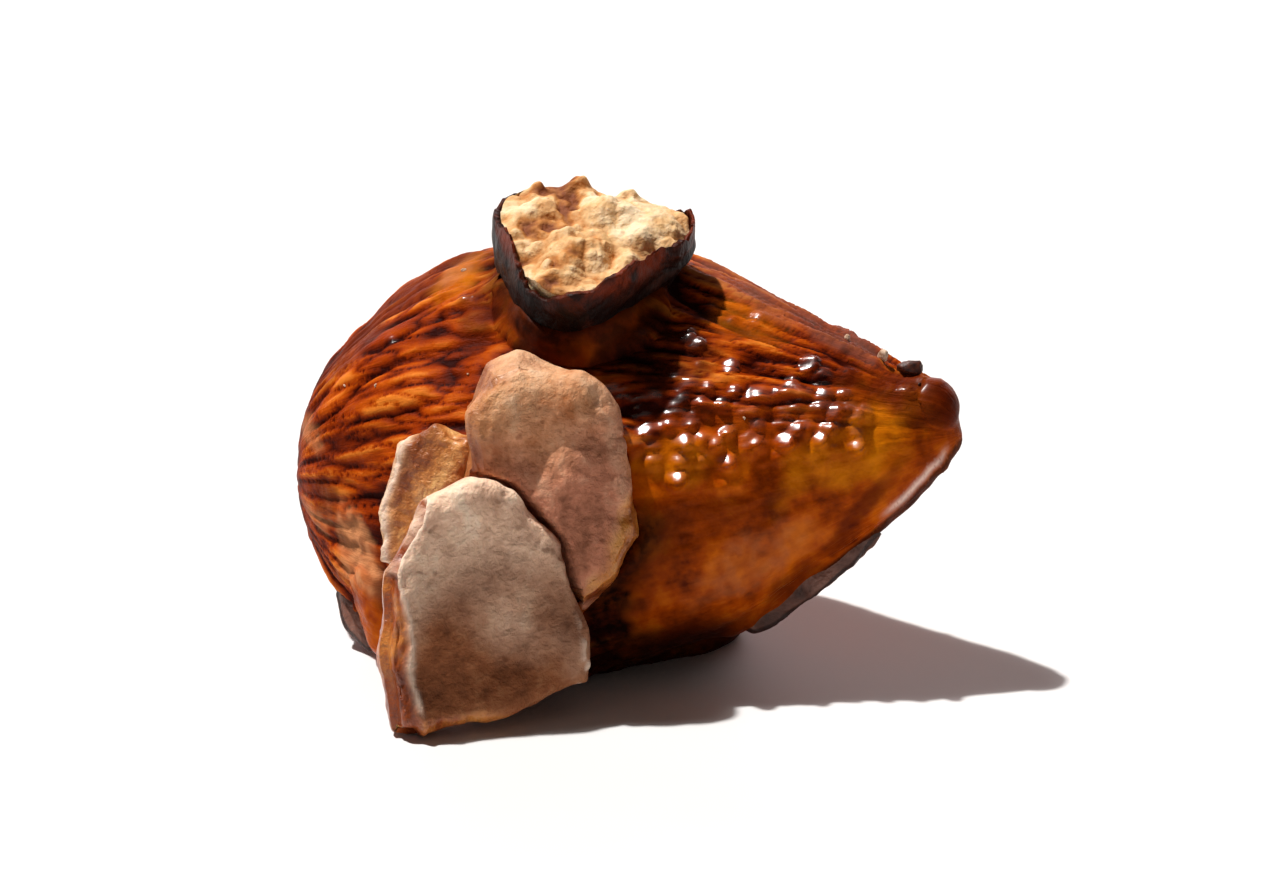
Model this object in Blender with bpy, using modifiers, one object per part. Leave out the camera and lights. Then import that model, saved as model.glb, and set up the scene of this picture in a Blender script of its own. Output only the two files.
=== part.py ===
"""One candied almond: a plump kernel in its ridged skin under a coat of set caramel, with broken
pieces of nut stuck to it.

Frame: metres, +Z up. The origin is on the flat spot that the kernel rests on, under its middle.
+X runs along the kernel towards its tip, and the broken pieces are stuck to its top and its -Y side.
"""

import math
from collections import namedtuple

import bmesh
import bpy
from mathutils import Euler, Matrix, Vector, noise

MM = 0.001

# The coated kernel lies on its edge, its broad face turned up and to -Y. Its outline is round at
# the blunt end and close to a cone at the tip.
KERNEL_LENGTH = 24.8 * MM
KERNEL_WIDTH = 16.2 * MM
KERNEL_THICKNESS = 11.8 * MM
KERNEL_CENTRE = Vector((0.6, 0.2, 6.95)) * MM
KERNEL_TURN = Euler((math.radians(50), math.radians(-9.3), math.radians(-15)))
BLUNT_POWER = 0.62
TIP_POWER = 1.02
TIP_BLUNTNESS = 0.08
TIP_CAP_POWER = 30
EDGE_SHARPNESS = 0.3
KERNEL_AROUND = 70
KERNEL_ALONG = 38

# The skin's long ridges, and the slow swell of the caramel over them.
RIDGE_COUNT = 15
RIDGE_HEIGHT = 0.3 * MM
RIDGE_WANDER = 1.5
RIDGE_BEND = 1.4
SWELL_HEIGHT = 0.3 * MM
SWELL_SIZE = 4.5 * MM

# Where the caramel ran and set: the middle and the half sizes of the foot under the kernel, the
# lobe under its blunt end, the web that holds the slab, the collar round the nut's end, and the burr
# on the tip.
FOOT = (Vector((0.2, 0, 0.5)) * MM, Vector((4.7, 3, 1.3)) * MM)
BLUNT_LOBE = (Vector((-8, -2.6, 2.1)) * MM, Vector((1.25, 1.5, 2.3)) * MM)
WEB = (Vector((-4.2, -6.6, 4.3)) * MM, Vector((3, 2.9, 3.8)) * MM)
COLLAR = (Vector((-0.9, -0.4, 12.4)) * MM, Vector((3.1, 2.9, 1.4)) * MM)
TIP_BURR = (Vector((11.7, -2.95, 9.6)) * MM, Vector((0.95, 0.75, 0.8)) * MM)
LOBE_AROUND = 28
LOBE_ALONG = 16

# The end of a nut, broken off: a leaning bowl of skin under a torn face with three blunt corners.
NUT_END_RADIUS = 3.4 * MM
NUT_END_DEPTH = 4.0 * MM
NUT_END_CORNERS = 0.15
NUT_END_CORNER_TURN = math.radians(12)
NUT_END_LEAN = Vector((-0.7, -0.2)) * MM
NUT_END_DOME = 0.16
NUT_END_TEAR = 0.12
NUT_END_TEARS_ACROSS = 2.2
NUT_END_TEAR_SEED = 4
NUT_END_PLACE = Vector((-0.5, 0, 15.4)) * MM
NUT_END_TURN = Euler((math.radians(17), 0, math.radians(4)))
NUT_END_AROUND = 36
NUT_END_ALONG = 22

# Flat broken pieces. An outline is in millimetres, from about its own lowest left corner, and
# roughness is the height of the uneven surface.
CLEARANCE = 0.3 * MM
FACE_SIZE = 0.55 * MM
ROUGHNESS_SIZE = 2.2 * MM
Flake = namedtuple("Flake", "name outline thickness rounding roughness place turn")
SLAB = Flake(
    name="nut_slab",
    outline=(
        (0.4, 0), (0.1, 2.2), (0.6, 5.8), (2.1, 8.2), (3.9, 9), (5.5, 8.3), (7, 6.2), (7.8, 3), (7.7, 1),
        (3.6, 0),
    ),
    thickness=1.8 * MM,
    rounding=0.5 * MM,
    roughness=0.35 * MM,
    place=Vector((-8.1, -10.7, 0.25)) * MM,
    turn=Euler((math.radians(76), 0, math.radians(18))),
)
CHUNK = Flake(
    name="nut_chunk",
    outline=(
        (0.2, 4.2), (0.2, 7), (1, 8.6), (2.1, 9.1), (4.4, 8.4), (5.6, 7), (6.1, 5.4), (6.1, 3.6), (7.1, 2.5),
        (6, 1), (4.4, -0.2), (1.6, 1.4),
    ),
    thickness=2.8 * MM,
    rounding=0.9 * MM,
    roughness=0.5 * MM,
    place=Vector((-5.3, -7.4, 4)) * MM,
    turn=Euler((math.radians(76), 0, math.radians(2))),
)
SLIVER = Flake(
    name="nut_sliver",
    outline=((0.3, 0.2), (0, 2.4), (0.5, 4.6), (1.9, 5.6), (3.4, 5.2), (3.8, 2.6), (2.4, 0.2)),
    thickness=1.3 * MM,
    rounding=0.4 * MM,
    roughness=0.3 * MM,
    place=Vector((-8.4, -4.8, 4.5)) * MM,
    turn=Euler((math.radians(76), 0, math.radians(-25))),
)

# Scraps of dark skin set in the caramel at the kernel's edge.
LONG_SCRAP = Flake(
    name="long_scrap",
    outline=((0, 0.5), (0.8, 0.1), (1.6, 0.4), (3.1, 1.5), (4.4, 2.7), (5.4, 3.9), (4.2, 4.2), (1.2, 2.6)),
    thickness=0.8 * MM,
    rounding=0.3 * MM,
    roughness=0.3 * MM,
    place=Vector((4.5, -4, 1.46)) * MM,
    turn=Euler((math.radians(80), 0, 0)),
)
SHORT_SCRAP = Flake(
    name="short_scrap",
    outline=((0, 1.6), (0.1, 2.2), (0.7, 2.4), (1.4, 1.9), (2.2, 1.1), (2.6, 0.1), (2.1, 0), (1, 0.6)),
    thickness=0.8 * MM,
    rounding=0.3 * MM,
    roughness=0.2 * MM,
    place=Vector((-10.3, -0.6, 0.1)) * MM,
    turn=Euler((math.radians(80), 0, math.radians(-45))),
)


def material(name, colour, roughness):
    """A plain surface of one colour, given as it looks on a screen."""
    made = bpy.data.materials.new(name)
    made.use_nodes = True
    surface = made.node_tree.nodes["Principled BSDF"]
    surface.inputs["Base Color"].default_value = (*[(c / 255) ** 2.2 for c in colour], 1)
    surface.inputs["Roughness"].default_value = roughness
    surface.inputs["Metallic"].default_value = 0
    return made


def caramel():
    return material("caramel_over_skin", (128, 52, 18), 0.2)


def pale_nut():
    return material("nut_flesh", (190, 150, 120), 0.7)


def dark_skin():
    return material("dark_nut_skin", (60, 30, 22), 0.45)


def object_of(shape, name, collection, surface):
    """Turns a bmesh into an object, shaded smooth."""
    mesh = bpy.data.meshes.new(name)
    shape.to_mesh(mesh)
    shape.free()
    mesh.shade_smooth()
    mesh.materials.append(surface)
    made = bpy.data.objects.new(name, mesh)
    collection.objects.link(made)
    return made


def as_seat(piece):
    """Turns a grown piece into a cutter for what lies round it."""
    piece.name += "_seat"
    piece.hide_render = True
    piece.display_type = "WIRE"
    return piece


def evaluated_mesh(source):
    """A plain mesh of an object as its modifiers leave it."""
    graph = bpy.context.evaluated_depsgraph_get()
    return bpy.data.meshes.new_from_object(source.evaluated_get(graph))


def fullness(along):
    """The share of its full width that the kernel has, from -1 at the blunt end to 1 at the tip."""
    widest = (BLUNT_POWER - TIP_POWER) / (BLUNT_POWER + TIP_POWER)
    peak = (1 + widest) ** BLUNT_POWER * (1 - widest) ** TIP_POWER
    reach = along * (1 - TIP_BLUNTNESS * (1 + along) / 2)
    tip_cap = math.sqrt(1 - max(0, along) ** TIP_CAP_POWER)
    return max(0, 1 + reach) ** BLUNT_POWER * (1 - reach) ** TIP_POWER / peak * tip_cap


def kernel_point(unit):
    """The smooth kernel's surface in the direction of a unit vector, in the kernel's own frame."""
    along = max(-1, min(1, unit.x))
    radius = math.hypot(unit.y, unit.z) or 1
    across = unit.y / radius
    up = unit.z / radius
    sharpness = EDGE_SHARPNESS * (1 + along) / 2
    return Vector((
        along * KERNEL_LENGTH / 2,
        across * fullness(along) * KERNEL_WIDTH / 2,
        up * abs(up) ** sharpness * fullness(along) * KERNEL_THICKNESS / 2,
    ))


def ridge(unit):
    """Rounded ridges with narrow grooves that run from end to end: 0 in a groove, 1 on a ridge."""
    turn = math.atan2(unit.z, unit.y)
    wander = noise.noise(Vector((unit.x * RIDGE_BEND, math.cos(turn), math.sin(turn))))
    wave = abs(math.sin(RIDGE_COUNT * turn / 2 + RIDGE_WANDER * wander))
    return wave * math.sqrt(max(0, 1 - unit.x * unit.x))


def kernel_shape():
    """The ridged kernel in its place, from a sphere with its poles at the kernel's two ends."""
    shape = bmesh.new()
    lie_down = Matrix.Rotation(math.radians(90), 4, "Y")
    bmesh.ops.create_uvsphere(
        shape, u_segments=KERNEL_AROUND, v_segments=KERNEL_ALONG, radius=1, matrix=lie_down
    )
    units = [vert.co.copy() for vert in shape.verts]
    for vert, unit in zip(shape.verts, units):
        vert.co = kernel_point(unit)
    shape.normal_update()
    raised = []
    for vert, unit in zip(shape.verts, units):
        height = SWELL_HEIGHT * noise.noise(vert.co / SWELL_SIZE) + RIDGE_HEIGHT * ridge(unit)
        raised.append(vert.co + vert.normal * height)
    for vert, co in zip(shape.verts, raised):
        vert.co = co
    shape.transform(Matrix.Translation(KERNEL_CENTRE) @ KERNEL_TURN.to_matrix().to_4x4())
    return shape


def lobe_shape(middle, half_size):
    shape = bmesh.new()
    bmesh.ops.create_uvsphere(shape, u_segments=LOBE_AROUND, v_segments=LOBE_ALONG, radius=1)
    shape.transform(Matrix.Translation(middle) @ Matrix.Diagonal((*half_size, 1)))
    return shape


def combine(base, others, operation):
    """Joins a collection's objects to a base, or cuts them from it."""
    step = base.modifiers.new(operation, "BOOLEAN")
    step.operation = operation
    step.solver = "MANIFOLD"
    step.operand_type = "COLLECTION"
    step.collection = others
    base.data = evaluated_mesh(base)
    base.modifiers.clear()


def remove_all(collection):
    for used in list(collection.objects):
        bpy.data.objects.remove(used)
    bpy.data.collections.remove(collection)


def drop_scraps(shape):
    """Keeps only the largest of a shape's separate bodies."""
    left = set(shape.verts)
    bodies = []
    while left:
        body = set()
        edge_of_body = {next(iter(left))}
        while edge_of_body:
            body |= edge_of_body
            near = {edge.other_vert(vert) for vert in edge_of_body for edge in vert.link_edges}
            edge_of_body = near - body
        bodies.append(body)
        left -= body
    bodies.sort(key=len)
    for scrap in bodies[:-1]:
        bmesh.ops.delete(shape, geom=list(scrap), context="VERTS")


def cut_flat(piece):
    """Cuts away what lies below the resting plane, and closes the cut."""
    shape = bmesh.new()
    shape.from_mesh(piece.data)
    cut = bmesh.ops.bisect_plane(
        shape,
        geom=shape.verts[:] + shape.edges[:] + shape.faces[:],
        dist=1e-7,
        plane_co=(0, 0, 0),
        plane_no=(0, 0, -1),
        clear_outer=True,
    )
    rim = [edge for edge in cut["geom_cut"] if isinstance(edge, bmesh.types.BMEdge)]
    bmesh.ops.contextual_create(shape, geom=rim)
    drop_scraps(shape)
    shape.to_mesh(piece.data)
    shape.free()
    piece.data.shade_smooth()


def outline_shape(outline, thickness, rounding, grow):
    """A flat outline with a thickness and round edges, or the same grown on all sides."""
    curve = bpy.data.curves.new("outline", "CURVE")
    curve.dimensions = "2D"
    curve.fill_mode = "BOTH"
    curve.extrude = thickness / 2 - rounding
    curve.bevel_depth = rounding + grow
    curve.bevel_resolution = 2
    curve.offset = -rounding
    spline = curve.splines.new("POLY")
    spline.points.add(len(outline) - 1)
    spline.use_cyclic_u = True
    for point, (x, y) in zip(spline.points, outline):
        point.co = (x * MM, y * MM, 0, 1)
    drawn = bpy.data.objects.new("outline", curve)
    bpy.context.scene.collection.objects.link(drawn)
    shape = bmesh.new()
    shape.from_mesh(evaluated_mesh(drawn))
    bpy.data.objects.remove(drawn)
    bmesh.ops.remove_doubles(shape, verts=shape.verts, dist=0.01 * MM)
    bmesh.ops.recalc_face_normals(shape, faces=shape.faces)
    return shape


def roughen(mesh, height, seed):
    """Moves a mesh's points along their normals by smooth noise."""
    offset = Vector((seed, 2 * seed, 3 * seed))
    moved = [v.co + v.normal * height * noise.noise(v.co / ROUGHNESS_SIZE + offset) for v in mesh.vertices]
    for vert, co in zip(mesh.vertices, moved):
        vert.co = co


def make_flake(flake, collection, surface, grow=0):
    """A flat broken piece, its edges worn round and its faces uneven, or the same grown on all sides."""
    shape = outline_shape(flake.outline, flake.thickness, flake.rounding, grow)
    piece = object_of(shape, flake.name, collection, surface)
    even = piece.modifiers.new("even faces", "REMESH")
    even.mode = "VOXEL"
    even.voxel_size = FACE_SIZE
    piece.data = evaluated_mesh(piece)
    piece.modifiers.clear()
    roughen(piece.data, flake.roughness, len(flake.outline))
    piece.data.shade_smooth()
    piece.location = flake.place
    piece.rotation_euler = flake.turn
    return piece


def nut_end_outline(turn):
    """The torn face's radius in a direction, a little longer to the left."""
    corners = NUT_END_CORNERS * math.cos(3 * (turn - NUT_END_CORNER_TURN))
    return NUT_END_RADIUS * (1 + corners - NUT_END_CORNERS / 2 * math.cos(turn))


def make_nut_end(collection, surface, grow=0):
    """The broken end of a nut, or the same grown on all sides."""
    shape = bmesh.new()
    bmesh.ops.create_uvsphere(shape, u_segments=NUT_END_AROUND, v_segments=NUT_END_ALONG, radius=1)
    for vert in shape.verts:
        x, y, z = vert.co
        spot = Vector((x * NUT_END_TEARS_ACROSS, y * NUT_END_TEARS_ACROSS, NUT_END_TEAR_SEED))
        torn = NUT_END_DOME * z + NUT_END_TEAR * noise.noise(spot)
        level = Vector((x, y)) * nut_end_outline(math.atan2(y, x)) + NUT_END_LEAN * max(0, -z)
        vert.co = (*level, NUT_END_DEPTH * (z if z < 0 else torn))
    shape.normal_update()
    for vert in shape.verts:
        vert.co += vert.normal * grow
    nut_end = object_of(shape, "nut_end", collection, surface)
    nut_end.location = NUT_END_PLACE
    nut_end.rotation_euler = NUT_END_TURN
    return nut_end


def make_kernel(collection, surface, seats):
    """The kernel, the set caramel and the scraps of skin in one solid, with the pieces' seats in it."""
    kernel = object_of(kernel_shape(), "candied_almond", collection, surface)
    stuck_on = bpy.data.collections.new("stuck_on")
    for middle, half_size in (FOOT, BLUNT_LOBE, WEB, COLLAR, TIP_BURR):
        object_of(lobe_shape(middle, half_size), "lobe", stuck_on, surface)
    for scrap in (LONG_SCRAP, SHORT_SCRAP):
        make_flake(scrap, stuck_on, surface)
    combine(kernel, stuck_on, "UNION")
    remove_all(stuck_on)
    combine(kernel, seats, "DIFFERENCE")
    cut_flat(kernel)


def carve(piece, *neighbours):
    """Hollows a piece where its neighbours lie against it."""
    for neighbour in neighbours:
        seat = piece.modifiers.new("seat", "BOOLEAN")
        seat.operation = "DIFFERENCE"
        seat.solver = "MANIFOLD"
        seat.object = neighbour


def new_collection(name):
    made = bpy.data.collections.new(name)
    bpy.context.scene.collection.children.link(made)
    return made


def main():
    for old in list(bpy.data.objects):
        bpy.data.objects.remove(old)
    parts = new_collection("candied_almond")
    seats = new_collection("seats")
    flesh = pale_nut()

    slab_seat = as_seat(make_flake(SLAB, seats, flesh, CLEARANCE))
    chunk_seat = as_seat(make_flake(CHUNK, seats, flesh, CLEARANCE))
    as_seat(make_flake(SLIVER, seats, flesh, CLEARANCE))
    as_seat(make_nut_end(seats, flesh, CLEARANCE))
    make_kernel(parts, caramel(), seats)
    make_flake(SLAB, parts, flesh)
    carve(make_flake(CHUNK, parts, flesh), slab_seat)
    carve(make_flake(SLIVER, parts, flesh), slab_seat, chunk_seat)
    carve(make_nut_end(parts, dark_skin()), chunk_seat)


main()
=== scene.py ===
"""One candied almond on a pale floor: a ridged kernel under glossy dark caramel, with broken
pieces of nut stuck to its top and its front. Shapes are made in millimetres and end in metres.
"""

import math
from collections import namedtuple

import bmesh
import bpy
import numpy as np
from mathutils import Euler, Matrix, Vector, noise
from mathutils.bvhtree import BVHTree


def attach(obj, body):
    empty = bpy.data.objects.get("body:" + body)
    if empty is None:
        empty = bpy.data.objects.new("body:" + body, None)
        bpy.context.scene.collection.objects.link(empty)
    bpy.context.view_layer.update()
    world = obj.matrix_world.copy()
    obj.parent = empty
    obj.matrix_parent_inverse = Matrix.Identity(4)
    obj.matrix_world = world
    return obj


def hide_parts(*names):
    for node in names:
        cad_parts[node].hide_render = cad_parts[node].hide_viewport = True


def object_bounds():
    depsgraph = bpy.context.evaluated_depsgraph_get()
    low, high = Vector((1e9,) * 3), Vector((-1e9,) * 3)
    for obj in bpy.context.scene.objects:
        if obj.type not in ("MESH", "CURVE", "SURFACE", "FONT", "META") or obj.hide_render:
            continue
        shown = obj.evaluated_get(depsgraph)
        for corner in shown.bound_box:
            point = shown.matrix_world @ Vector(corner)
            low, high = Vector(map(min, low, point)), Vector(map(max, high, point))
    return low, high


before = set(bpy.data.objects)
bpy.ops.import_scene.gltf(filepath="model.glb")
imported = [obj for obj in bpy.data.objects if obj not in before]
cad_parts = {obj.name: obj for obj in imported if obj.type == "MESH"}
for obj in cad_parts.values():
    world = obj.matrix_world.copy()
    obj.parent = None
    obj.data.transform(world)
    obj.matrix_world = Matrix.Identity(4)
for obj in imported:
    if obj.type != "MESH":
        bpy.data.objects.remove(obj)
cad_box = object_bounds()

MM = 0.001
PER_METRE = 1000
SEED_STEP = np.array((17.3, 31.7, 5.9))


def turned(x, y, z):
    """A turn about the three axes, in degrees."""
    return Euler((math.radians(x), math.radians(y), math.radians(z)))


# How far the dressed part may reach past the part's own box.
BOX_MARGIN = 0.3

# The kernel and what ran from it, as in the part, but with lower ridges and a smaller burr on the tip.
KERNEL_LENGTH = 24.8
KERNEL_WIDTH = 16.2
KERNEL_THICKNESS = 11.8
KERNEL_CENTRE = Vector((0.6, 0.2, 6.95))
KERNEL_TURN = turned(50, -9.3, -15)
BLUNT_POWER = 0.62
TIP_POWER = 1.02
TIP_BLUNTNESS = 0.08
TIP_CAP_POWER = 30
EDGE_SHARPNESS = 0.3
RIDGE_COUNT = 15
RIDGE_HEIGHT = 0.24
RIDGE_WANDER = 1.5
RIDGE_BEND = 1.4
SWELL_HEIGHT = 0.3
SWELL_SIZE = 4.5
FOOT = (Vector((0.2, 0, 0.5)), Vector((4.7, 3, 1.3)))
BLUNT_LOBE = (Vector((-8, -2.6, 2.1)), Vector((1.25, 1.5, 2.3)))
WEB = (Vector((-4.2, -6.6, 4.3)), Vector((3, 2.9, 3.8)))
COLLAR = (Vector((-0.9, -0.4, 12.4)), Vector((3.1, 2.9, 1.4)))
TIP_BURR = (Vector((11.7, -2.85, 9.3)), Vector((0.55, 0.6, 0.75)))
# Swellings and dents at the tip and at the blunt end: the middle, the reach and the height.
END_SWELLS = (
    ((-11.2, 3.4, 4.95), 0.5, -0.2),
    ((11.8, -2.8, 10.3), 1.15, 0.8),
    ((12.8, -3.0, 8.7), 0.5, 0.25),
    ((13.0, -3.0, 9.5), 0.5, -0.55),
)

# The end of a nut, as in the part.
NUT_END_RADIUS = 3.4
NUT_END_DEPTH = 4.0
NUT_END_CORNERS = 0.15
NUT_END_CORNER_TURN = math.radians(12)
NUT_END_LEAN = np.array((-0.7, -0.2))
NUT_END_DOME = 0.16
NUT_END_TEAR = 0.12
NUT_END_TEARS_ACROSS = 2.2
NUT_END_TEAR_SEED = 4
NUT_END_PLACE = Vector((-0.5, 0, 15.4))
NUT_END_TURN = turned(17, 0, 4)

NUT_NODES = ("nut_slab", "nut_chunk", "nut_sliver", "nut_end")

# The flat broken pieces, as in the part, but for the chunk's right corner, which is drawn in, and the long
# scrap, which is turned further. An outline is in millimetres, from about its own lowest left corner.
ROUGHNESS_SIZE = 2.2
Flake = namedtuple("Flake", "name outline thickness rounding roughness place turn")
SLAB = Flake(
    name="nut_slab",
    outline=(
        (0.4, 0), (0.1, 2.2), (0.6, 5.8), (2.1, 8.2), (3.9, 9), (5.5, 8.3), (7, 6.2), (7.8, 3), (7.7, 1),
        (3.6, 0),
    ),
    thickness=1.8,
    rounding=0.5,
    roughness=0.35,
    place=Vector((-8.1, -10.7, 0.25)),
    turn=turned(76, 0, 18),
)
CHUNK = Flake(
    name="nut_chunk",
    outline=(
        (0.2, 4.2), (0.2, 7), (1, 8.6), (2.1, 9.1), (4.4, 8.4), (5.6, 7), (6.1, 5.4), (6.1, 3.6), (6.5, 2.4),
        (5.8, 1), (4.4, -0.2), (1.6, 1.4),
    ),
    thickness=2.8,
    rounding=0.9,
    roughness=0.5,
    place=Vector((-5.3, -7.4, 4)),
    turn=turned(76, 0, 2),
)
SLIVER = Flake(
    name="nut_sliver",
    outline=((0.3, 0.2), (0, 2.4), (0.5, 4.6), (1.9, 5.6), (3.4, 5.2), (3.8, 2.6), (2.4, 0.2)),
    thickness=1.3,
    rounding=0.4,
    roughness=0.3,
    place=Vector((-8.4, -4.8, 4.5)),
    turn=turned(76, 0, -25),
)
LONG_SCRAP = Flake(
    name="long_scrap",
    outline=((0, 0.5), (0.8, 0.1), (1.6, 0.4), (3.1, 1.5), (4.4, 2.7), (5.4, 3.9), (4.2, 4.2), (1.2, 2.6)),
    thickness=0.8,
    rounding=0.3,
    roughness=0.3,
    place=Vector((4.5, -4, 1.46)),
    turn=turned(87, 0, 0),
)
SHORT_SCRAP = Flake(
    name="short_scrap",
    outline=((0, 1.6), (0.1, 2.2), (0.7, 2.4), (1.4, 1.9), (2.2, 1.1), (2.6, 0.1), (2.1, 0), (1, 0.6)),
    thickness=0.8,
    rounding=0.3,
    roughness=0.2,
    place=Vector((-10.3, -0.6, 0.1)),
    turn=turned(80, 0, -45),
)

# The stage: the camera looks along +Y and down, from far away through a long lens.
CAMERA_ELEVATION = math.radians(20)
CAMERA_DISTANCE = 0.7
FRAME_WIDTH = 0.047
FRAME_CENTRE = Vector((0.0013, 0, 0.0078))
SENSOR_WIDTH = 36
NEAREST_SEEN = 0.01
FLOOR_HALF_SIZE = 3
LIGHT_FROM = Vector((-0.36, 0.17, 0.92))
SUN_COLOUR = (1, 0.98, 0.95)
# The lights from there: the name, the strength and how wide it looks in degrees.
SUNS = (("key", 4.3, 1.8), ("key_glow", 0.6, 8))
WALL_AT = Vector((0, 0.995, 0.1))
WALL_BREADTH = 1.8
ROOM_TONES = (
    (0.0, (0.085, 0.07, 0.063)),
    (0.88, (0.085, 0.07, 0.063)),
    (0.945, (0.7, 0.55, 0.53)),
    (0.975, (2.1, 1.7, 1.7)),
)


# Arrays of a mesh's points.

def positions(mesh):
    flat = np.empty(len(mesh.vertices) * 3)
    mesh.vertices.foreach_get("co", flat)
    return flat.reshape(-1, 3)


def normals(mesh):
    flat = np.empty(len(mesh.vertices) * 3)
    mesh.vertices.foreach_get("normal", flat)
    return flat.reshape(-1, 3)


def set_positions(mesh, points):
    mesh.vertices.foreach_set("co", points.ravel())
    mesh.update()


def set_attributes(mesh, **values):
    """Keeps numbers, or threes of numbers, for each of a mesh's points, for its material."""
    for name, numbers in values.items():
        kind, field = ("FLOAT", "value") if numbers.ndim == 1 else ("FLOAT_VECTOR", "vector")
        kept = mesh.attributes.new(name, kind, "POINT")
        kept.data.foreach_set(field, numbers.astype(np.float32).ravel())


def noise_at(points, size=1.0, seed=0):
    """Smooth noise from -1 to 1 at each point."""
    spots = points / size + seed * SEED_STEP
    return np.array([noise.noise(spot) for spot in spots.tolist()])


def smoothstep(low, high, values):
    share = np.clip((values - low) / (high - low), 0, 1)
    return share * share * (3 - 2 * share)


def hump(values):
    """1 at zero, and falling to nearly 0 by 2 on either side."""
    return np.exp(-(values ** 2))


# Making meshes.

def add_object(name, mesh):
    made = bpy.data.objects.new(name, mesh)
    bpy.context.scene.collection.objects.link(made)
    return made


def evaluated_mesh(source):
    graph = bpy.context.evaluated_depsgraph_get()
    return bpy.data.meshes.new_from_object(source.evaluated_get(graph))


def mesh_of(shape, name):
    mesh = bpy.data.meshes.new(name)
    shape.to_mesh(mesh)
    shape.free()
    return mesh


def connected_part(start):
    """The vertices of a bmesh that edges join to one of them."""
    part = {start}
    front = [start]
    while front:
        vertex = front.pop()
        for edge in vertex.link_edges:
            other = edge.other_vert(vertex)
            if other not in part:
                part.add(other)
                front.append(other)
    return part


def drop_specks(mesh):
    """Keeps a mesh's main body alone, without the bubbles that remeshing leaves between lobes."""
    shape = bmesh.new()
    shape.from_mesh(mesh)
    unseen = set(shape.verts)
    main_body = set()
    while unseen:
        part = connected_part(next(iter(unseen)))
        unseen -= part
        main_body = max(main_body, part, key=len)
    specks = [vertex for vertex in shape.verts if vertex not in main_body]
    bmesh.ops.delete(shape, geom=specks, context="VERTS")
    shape.to_mesh(mesh)
    shape.free()


def even_mesh(shape, size, smoothing):
    """The outside of a bmesh's closed bodies as one even mesh, its creases smoothed."""
    source = add_object("source", mesh_of(shape, "source"))
    remesh = source.modifiers.new("remesh", "REMESH")
    remesh.mode = "VOXEL"
    remesh.voxel_size = size
    smooth = source.modifiers.new("smooth", "SMOOTH")
    smooth.factor = 0.5
    smooth.iterations = smoothing
    mesh = evaluated_mesh(source)
    drop_specks(mesh)
    bpy.data.objects.remove(source)
    return mesh


def placed(turn, place):
    return Matrix.Translation(place) @ turn.to_matrix().to_4x4()


def transformed(points, matrix):
    matrix = np.array(matrix)
    return points @ matrix[:3, :3].T + matrix[:3, 3]


KERNEL_MATRIX = placed(KERNEL_TURN, KERNEL_CENTRE)
NUT_END_MATRIX = placed(NUT_END_TURN, NUT_END_PLACE)


def finished(name, mesh, surface, slot, *nodes):
    """Puts a mesh in the scene in metres, close to the part's box, and hides the nodes of the part that it
    stands for.
    """
    low = np.array(cad_box[0]) / MM - (BOX_MARGIN, BOX_MARGIN, 0)
    high = np.array(cad_box[1]) / MM + BOX_MARGIN
    set_positions(mesh, np.clip(positions(mesh), low, high) * MM)
    mesh.shade_smooth()
    mesh.materials.clear()
    mesh.materials.append(surface)
    mesh.name = name
    piece = add_object(name, mesh)
    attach(piece, "root")
    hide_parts(*nodes)


# The kernel's form.

def fullness(along):
    """The share of its full width that the kernel has, from -1 at the blunt end to 1 at the tip."""
    widest = (BLUNT_POWER - TIP_POWER) / (BLUNT_POWER + TIP_POWER)
    peak = (1 + widest) ** BLUNT_POWER * (1 - widest) ** TIP_POWER
    reach = along * (1 - TIP_BLUNTNESS * (1 + along) / 2)
    tip_cap = np.sqrt(1 - np.maximum(0, along) ** TIP_CAP_POWER)
    return np.maximum(0, 1 + reach) ** BLUNT_POWER * (1 - reach) ** TIP_POWER / peak * tip_cap


def kernel_points(units):
    """The smooth kernel's surface in the directions of unit vectors, in the kernel's own frame."""
    along = np.clip(units[:, 0], -1, 1)
    radius = np.maximum(np.hypot(units[:, 1], units[:, 2]), 1e-9)
    across = units[:, 1] / radius
    up = units[:, 2] / radius
    sharpness = EDGE_SHARPNESS * (1 + along) / 2
    full = fullness(along)
    return np.stack((
        along * KERNEL_LENGTH / 2,
        across * full * KERNEL_WIDTH / 2,
        up * np.abs(up) ** sharpness * full * KERNEL_THICKNESS / 2,
    ), axis=1)


def kernel_units(local):
    """Unit vectors for points near the kernel, in its own frame: about the reverse of kernel_points."""
    along = np.clip(local[:, 0] / (KERNEL_LENGTH / 2), -0.9999, 0.9999)
    across = local[:, 1] / (KERNEL_WIDTH / 2)
    up = local[:, 2] / (KERNEL_THICKNESS / 2)
    full = np.maximum(fullness(along), 0.02)
    sharpness = EDGE_SHARPNESS * (1 + along) / 2
    lift = np.sign(up) * (np.abs(up) / full) ** (1 / (1 + sharpness))
    turn = np.arctan2(lift, across / full)
    ring = np.sqrt(1 - along * along)
    return np.stack((along, ring * np.cos(turn), ring * np.sin(turn)), axis=1)


def around(units, rounds, lengths):
    """Coordinates for patterns that run along the kernel, with so many cells round and along it."""
    turn = np.arctan2(units[:, 2], units[:, 1])
    return np.stack((units[:, 0] * lengths, np.cos(turn) * rounds, np.sin(turn) * rounds), axis=1)


def main_ridges(units):
    """The part's own ridges: 0 in a groove, 1 on a ridge."""
    turn = np.arctan2(units[:, 2], units[:, 1])
    wander = noise_at(around(units, 1, RIDGE_BEND))
    wave = np.abs(np.sin(RIDGE_COUNT * turn / 2 + RIDGE_WANDER * wander))
    return wave * np.sqrt(np.maximum(0, 1 - units[:, 0] ** 2))


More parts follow.
